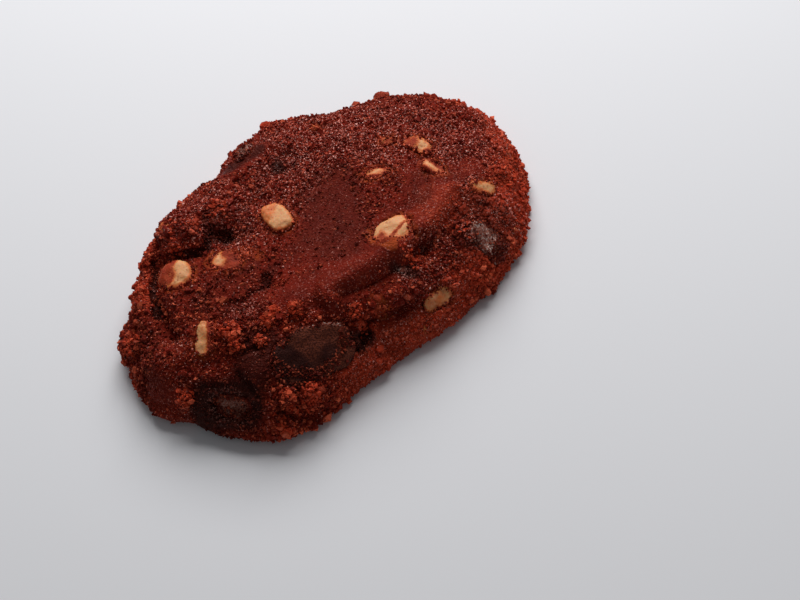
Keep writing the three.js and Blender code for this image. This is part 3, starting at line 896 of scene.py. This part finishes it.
class Ground:
    """The surface of one or more pieces, for crumbs to lie on."""

    def __init__(self, pieces, cover):
        self.cover = cover
        corners, places, normals, used = [], [], [], 0
        values = {name: [] for name in ("crumbly", "edge", *GRAIN_LOOKS)}
        for piece in pieces:
            mesh = piece.data
            mesh.calc_loop_triangles()
            corners.append(numbers(mesh.loop_triangles, "vertices", 3, np.int32) + used)
            place, normal = points(piece)
            places.append(place)
            normals.append(normal)
            used += len(place)
            for name, stored in values.items():
                kept = np.zeros((len(place), 1), np.float32)
                if name in mesh.attributes:
                    kept = numbers(mesh.attributes[name].data, "value", 1, np.float32)
                stored.append(kept[:, 0])
        self.corners = np.concatenate(corners)
        self.place, self.normal = np.concatenate(places), np.concatenate(normals)
        first, second, third = (self.place[self.corners[:, side]] for side in range(3))
        self.area = 0.5 * np.linalg.norm(np.cross(second - first, third - first), axis=1)
        self.values = {
            name: np.concatenate(stored)[self.corners].mean(axis=1) for name, stored in values.items()
        }
        self.values["facing"] = self.normal[self.corners][:, :, 2].mean(axis=1)

    def read(self, *names):
        """What is kept on each face, by name."""
        return [self.values[name] for name in names]

    def spots(self, chance, weights, count):
        """Random spots that nothing lies over: their places, normals and faces."""
        odds = self.area * np.maximum(weights, 0)
        face = chance.choice(len(odds), count, p=odds / odds.sum())
        first, second = np.sqrt(chance.random(count)), chance.random(count)
        parts = np.stack([1 - first, first * (1 - second), first * second], axis=1)[:, :, None]
        place = (self.place[self.corners[face]] * parts).sum(axis=1)
        normal = (self.normal[self.corners[face]] * parts).sum(axis=1)
        normal /= np.maximum(np.linalg.norm(normal, axis=1), 0.001)[:, None]
        ways = [(Vector(at), Vector(out)) for at, out in zip(place, normal)]
        clear = np.array([self.cover.ray_cast(at + out * 0.02, out, 4)[0] is None for at, out in ways])
        return place[clear], normal[clear], face[clear]


def turned(chance, count):
    """Random turns."""
    quarter = chance.normal(size=(count, 4))
    quarter /= np.linalg.norm(quarter, axis=1)[:, None]
    w, x, y, z = quarter.T
    rows = [
        [1 - 2 * (y * y + z * z), 2 * (x * y - z * w), 2 * (x * z + y * w)],
        [2 * (x * y + z * w), 1 - 2 * (x * x + z * z), 2 * (y * z - x * w)],
        [2 * (x * z - y * w), 2 * (y * z + x * w), 1 - 2 * (x * x + y * y)],
    ]
    return np.array(rows).transpose(2, 0, 1)


def scatter(name, shapes, chance, ground, place, sizes, tone, face):
    """One mesh of many grains, each turned at random at its own place and size."""
    kept = {"tone": tone, **{key: ground.values[key][face] for key in GRAIN_LOOKS}}
    all_points, all_faces, used = [], [], 0
    kinds = chance.integers(len(shapes), size=len(place))
    turns = turned(chance, len(place))
    order = np.argsort(kinds, kind="stable")
    for kind, (shape, faces) in enumerate(shapes):
        mine = kinds == kind
        body = np.einsum("nij,pj->npi", turns[mine], shape) * sizes[mine][:, None, None]
        body += place[mine][:, None, :]
        low, high = body[:, :, 2].min(axis=1), body[:, :, 2].max(axis=1)
        body[:, :, 2] += (np.maximum(0, -low) - np.maximum(0, high - (ROOF + GRAINS_PROUD)))[:, None]
        steps = np.arange(len(body)) * len(shape) + used
        all_points.append(body.reshape(-1, 3))
        all_faces.append((faces[None] + steps[:, None, None]).reshape(-1, faces.shape[1]))
        used += len(body) * len(shape)
    mesh = bpy.data.meshes.new(name)
    mesh.from_pydata((np.concatenate(all_points) * MM).tolist(), [], np.concatenate(all_faces).tolist())
    piece = add(name, mesh)
    for key, values in kept.items():
        keep(piece, key, np.repeat(values[order], len(shape)))
    return piece


def make_grains(name, kind, first, chance, ground, weights, count, size, material, paler=0):
    """Grains of one kind where the weights favour them, finer and more alike where it is smooth."""
    shapes = grain_shapes(kind, first)
    place, normal, face = ground.spots(chance, weights, count)
    smooth = ground.values["smooth"][face]
    sizes = size / MM * chance.lognormal(0, 0.35, len(place)) * (1 - 0.4 * smooth)
    lift = chance.uniform(-0.15, 0.38, len(place)) * (1 - 0.8 * smooth) - 0.2 * smooth
    place = place + normal * (sizes * lift)[:, None]
    even = np.maximum(0.65 * smooth, 0.3 * ground.values["frost_highlighted"][face])
    tone = 0.52 + (chance.beta(1.25, 1.25, len(place)) - 0.5) * (1 - even) + paler
    finish_piece(scatter(name, shapes, chance, ground, place, sizes, tone, face), "dough", material)


def make_crumbs(crumbs, material, glossy, ground):
    """Fine grains on top, grains packed on the rim and the broken places, and crumbs among them."""
    crumbly, frost_highlighted, smooth, facing = ground.read("crumbly", "frost_highlighted", "smooth", "facing")
    top = (0.4 + 0.6 * frost_highlighted + 0.3 * crumbly) * rise(facing, -0.2, 0.5) * (1 - 0.3 * smooth)
    rim = (0.04 + crumbly**1.2) * rise(facing, -0.95, -0.3) * (1 - 0.8 * smooth)
    bright = top * (0.35 + frost_highlighted)
    broken = (0.02 + crumbly**2) * rise(facing, -0.7, 0) * (1 - smooth)
    # Each one's name, kind, first shape, step of the seed, weights, number, width, finish and paler share,
    # which lifts the smallest grains into painted sparkle
    for name, kind, first, step, *rest in (
        ("top_grains", "fine", 1, 0, top, crumbs.grains, crumbs.grain, material),
        ("rim_grains", "fine", 11, 1, rim, crumbs.rim_grains, crumbs.rim_grain, material),
        ("glints", "fine", 51, 6, bright, crumbs.glints, crumbs.glint, glossy, 0.72),
        ("crumbs", "coarse", 21, 2, broken, crumbs.crumbs, crumbs.crumb, material),
    ):
        make_grains(name, kind, first, np.random.default_rng(crumbs.seed + step), ground, *rest)


def make_film_grains(crumbs, material):
    """Grains stuck to the chips and chunks where dough lies smeared over them."""
    ground = Ground(chocolate_pieces(), tree_of(bpy.data.objects["cookie_dough"]))
    edge, facing = ground.read("edge", "facing")
    weights = rise(edge, 0.15, 0.8) * rise(facing, -0.2, 0.3)
    chance, size = np.random.default_rng(crumbs.seed + 5), 0.85 * crumbs.grain
    make_grains("film_grains", "fine", 41, chance, ground, weights, crumbs.film_grains, size, material, 0.1)


def make_heaps(crumbs, material, ground):
    """Heaps of crumb stuck together, at the places that the cookie has them."""
    chance = np.random.default_rng(crumbs.seed + 3)
    middles = ground.place[ground.corners].mean(axis=1)
    places, sizes, faces = [], [], []
    for x, y, spread, height, count in HEAPS:
        weights = mound(middles, x, y, 0.6 * spread) * (middles[:, 2] > FOOT)
        weights = weights * rise(ground.values["facing"], -0.2, 0.3)
        place, normal, face = ground.spots(chance, weights, count)
        pile = 0.5 * height * chance.random(len(place)) ** 1.6 * mound(place, x, y, spread)
        places.append(place + normal * pile[:, None])
        sizes.append(crumbs.heap_grain / MM * chance.lognormal(0, 0.4, len(place)))
        faces.append(face)
    place, sizes, face = np.concatenate(places), np.concatenate(sizes), np.concatenate(faces)
    tone = 0.4 + 0.45 * chance.random(len(place))
    piece = scatter("crumb_heaps", grain_shapes("fine", 31), chance, ground, place, sizes, tone, face)
    keep(piece, "rusty", 1)
    keep(piece, "shade_and_stained", 0)
    finish_piece(piece, "dough", material)


def make_stage(stage):
    """A pale floor, a soft lamp behind the cookie and the camera at the photograph's angle."""
    bpy.ops.object.select_all(action="DESELECT")
    bpy.ops.mesh.primitive_grid_add(x_subdivisions=8, y_subdivisions=8, size=FLOOR_SIZE)
    floor = bpy.context.object
    floor.name = "floor"
    paper = Finish("paper", Roughness=0.9, Specular_IOR_Level=0.2)
    paper.shader.inputs["Base Color"].default_value = stage.floor
    floor.data.materials.append(paper.material)

    scene = bpy.context.scene
    scene.view_settings.view_transform = "Standard"
    world = bpy.data.worlds.new("room")
    world.use_nodes = True
    background = world.node_tree.nodes["Background"]
    background.inputs["Color"].default_value = SKY_COLOUR
    background.inputs["Strength"].default_value = stage.sky
    scene.world = world

    slope, turn, roll = stage.elevation, stage.bearing, stage.roll
    back = Vector((math.sin(turn) * math.cos(slope), -math.cos(turn) * math.cos(slope), math.sin(slope)))
    level = Vector((math.cos(turn), math.sin(turn), 0.0))
    upright = back.cross(level)
    right = level * math.cos(roll) - upright * math.sin(roll)
    up = upright * math.cos(roll) + level * math.sin(roll)
    eye = AIM * MM + back * stage.distance
    lens = bpy.data.cameras.new("camera")
    lens.sensor_width = SENSOR
    lens.lens = PIXELS_PER_MM * stage.distance / MM / PICTURE_WIDTH * SENSOR
    lens.shift_x = (PICTURE_WIDTH / 2 - AIM_PIXEL[0]) / PICTURE_WIDTH
    lens.shift_y = (AIM_PIXEL[1] - PICTURE_HEIGHT / 2) / PICTURE_WIDTH
    lens.clip_start = 0.01
    camera = add("camera", lens)
    camera.matrix_world = Matrix.Translation(eye) @ Matrix((right, up, back)).transposed().to_4x4()
    scene.camera = camera

    lamp_data = bpy.data.lights.new("lamp", "AREA")
    lamp_data.shape = "RECTANGLE"
    lamp_data.size, lamp_data.size_y = LAMP_SIZE
    lamp_data.energy = stage.lamp_power
    lamp = add("lamp", lamp_data)
    stand = Vector((up.x, up.y, 0.0)).normalized() * LAMP_BEHIND + Vector((0.0, 0.0, LAMP_HEIGHT))
    lamp.matrix_world = Matrix.Translation(stand) @ stand.to_track_quat("Z", "Y").to_matrix().to_4x4()


class COOKIE_OT_dough(bpy.types.Operator):
    """Makes the dough with its crumb and folds"""

    bl_idname = "cookie.dough"
    bl_label = "Dough"

    def execute(self, context):
        make_dough(context.scene.cookie_dough)
        return {"FINISHED"}


class COOKIE_OT_white_chips(bpy.types.Operator):
    """Makes the white chocolate chips"""

    bl_idname = "cookie.white_chips"
    bl_label = "White chips"

    def execute(self, context):
        make_white_chips(context.scene.cookie_chocolate, context.scene.cookie_dough)
        return {"FINISHED"}


class COOKIE_OT_dark_chunks(bpy.types.Operator):
    """Makes the dark chocolate chunks"""

    bl_idname = "cookie.dark_chunks"
    bl_label = "Dark chunks"

    def execute(self, context):
        make_dark_chunks(context.scene.cookie_chocolate, context.scene.cookie_dough)
        make_flecks()
        return {"FINISHED"}


class COOKIE_OT_crumbs(bpy.types.Operator):
    """Scatters grains, crumbs and heaps of crumb on the dough"""

    bl_idname = "cookie.crumbs"
    bl_label = "Crumbs"

    def execute(self, context):
        crumbs, look = context.scene.cookie_crumbs, context.scene.cookie_dough
        material = crumb_finish(look, "loose_crumb", 0.08, 0.7)
        glossy = crumb_finish(look, "glossy_crumb", 0.5, 0.5)
        ground = Ground([bpy.data.objects["cookie_dough"]], tree_of(*chocolate_pieces()))
        make_crumbs(crumbs, material, glossy, ground)
        make_film_grains(crumbs, material)
        make_heaps(crumbs, material, ground)
        return {"FINISHED"}


class COOKIE_OT_stage(bpy.types.Operator):
    """Sets up the floor, the light and the camera"""

    bl_idname = "cookie.stage"
    bl_label = "Stage"

    def execute(self, context):
        make_stage(context.scene.cookie_stage)
        return {"FINISHED"}


class COOKIE_PT_sidebar(bpy.types.Panel):
    """Lists the cookie's pieces and their settings"""

    bl_idname = "COOKIE_PT_sidebar"
    bl_label = "Red velvet cookie"
    bl_space_type = "VIEW_3D"
    bl_region_type = "UI"
    bl_category = "Cookie"

    def draw(self, context):
        for operator, settings in STEPS:
            self.layout.operator(operator)
            for name in SETTINGS[settings].__annotations__:
                self.layout.prop(getattr(context.scene, settings), name)


SETTINGS = {
    "cookie_dough": DoughSettings,
    "cookie_chocolate": ChocolateSettings,
    "cookie_crumbs": CrumbSettings,
    "cookie_stage": StageSettings,
}
STEPS = (
    ("cookie.dough", "cookie_dough"),
    ("cookie.white_chips", "cookie_chocolate"),
    ("cookie.dark_chunks", "cookie_chocolate"),
    ("cookie.crumbs", "cookie_crumbs"),
    ("cookie.stage", "cookie_stage"),
)
PIECES = (COOKIE_OT_dough, COOKIE_OT_white_chips, COOKIE_OT_dark_chunks, COOKIE_OT_crumbs)
CLASSES = (*SETTINGS.values(), *PIECES, COOKIE_OT_stage, COOKIE_PT_sidebar)


def register():
    for kind in CLASSES:
        bpy.utils.register_class(kind)
    for name, kind in SETTINGS.items():
        setattr(bpy.types.Scene, name, bpy.props.PointerProperty(type=kind))


def unregister():
    for name in SETTINGS:
        delattr(bpy.types.Scene, name)
    for kind in reversed(CLASSES):
        bpy.utils.unregister_class(kind)


def main():
    register()
    bpy.ops.cookie.dough()
    bpy.ops.cookie.white_chips()
    bpy.ops.cookie.dark_chunks()
    bpy.ops.cookie.crumbs()
    bpy.ops.cookie.stage()


if __name__ == "__main__":
    main()
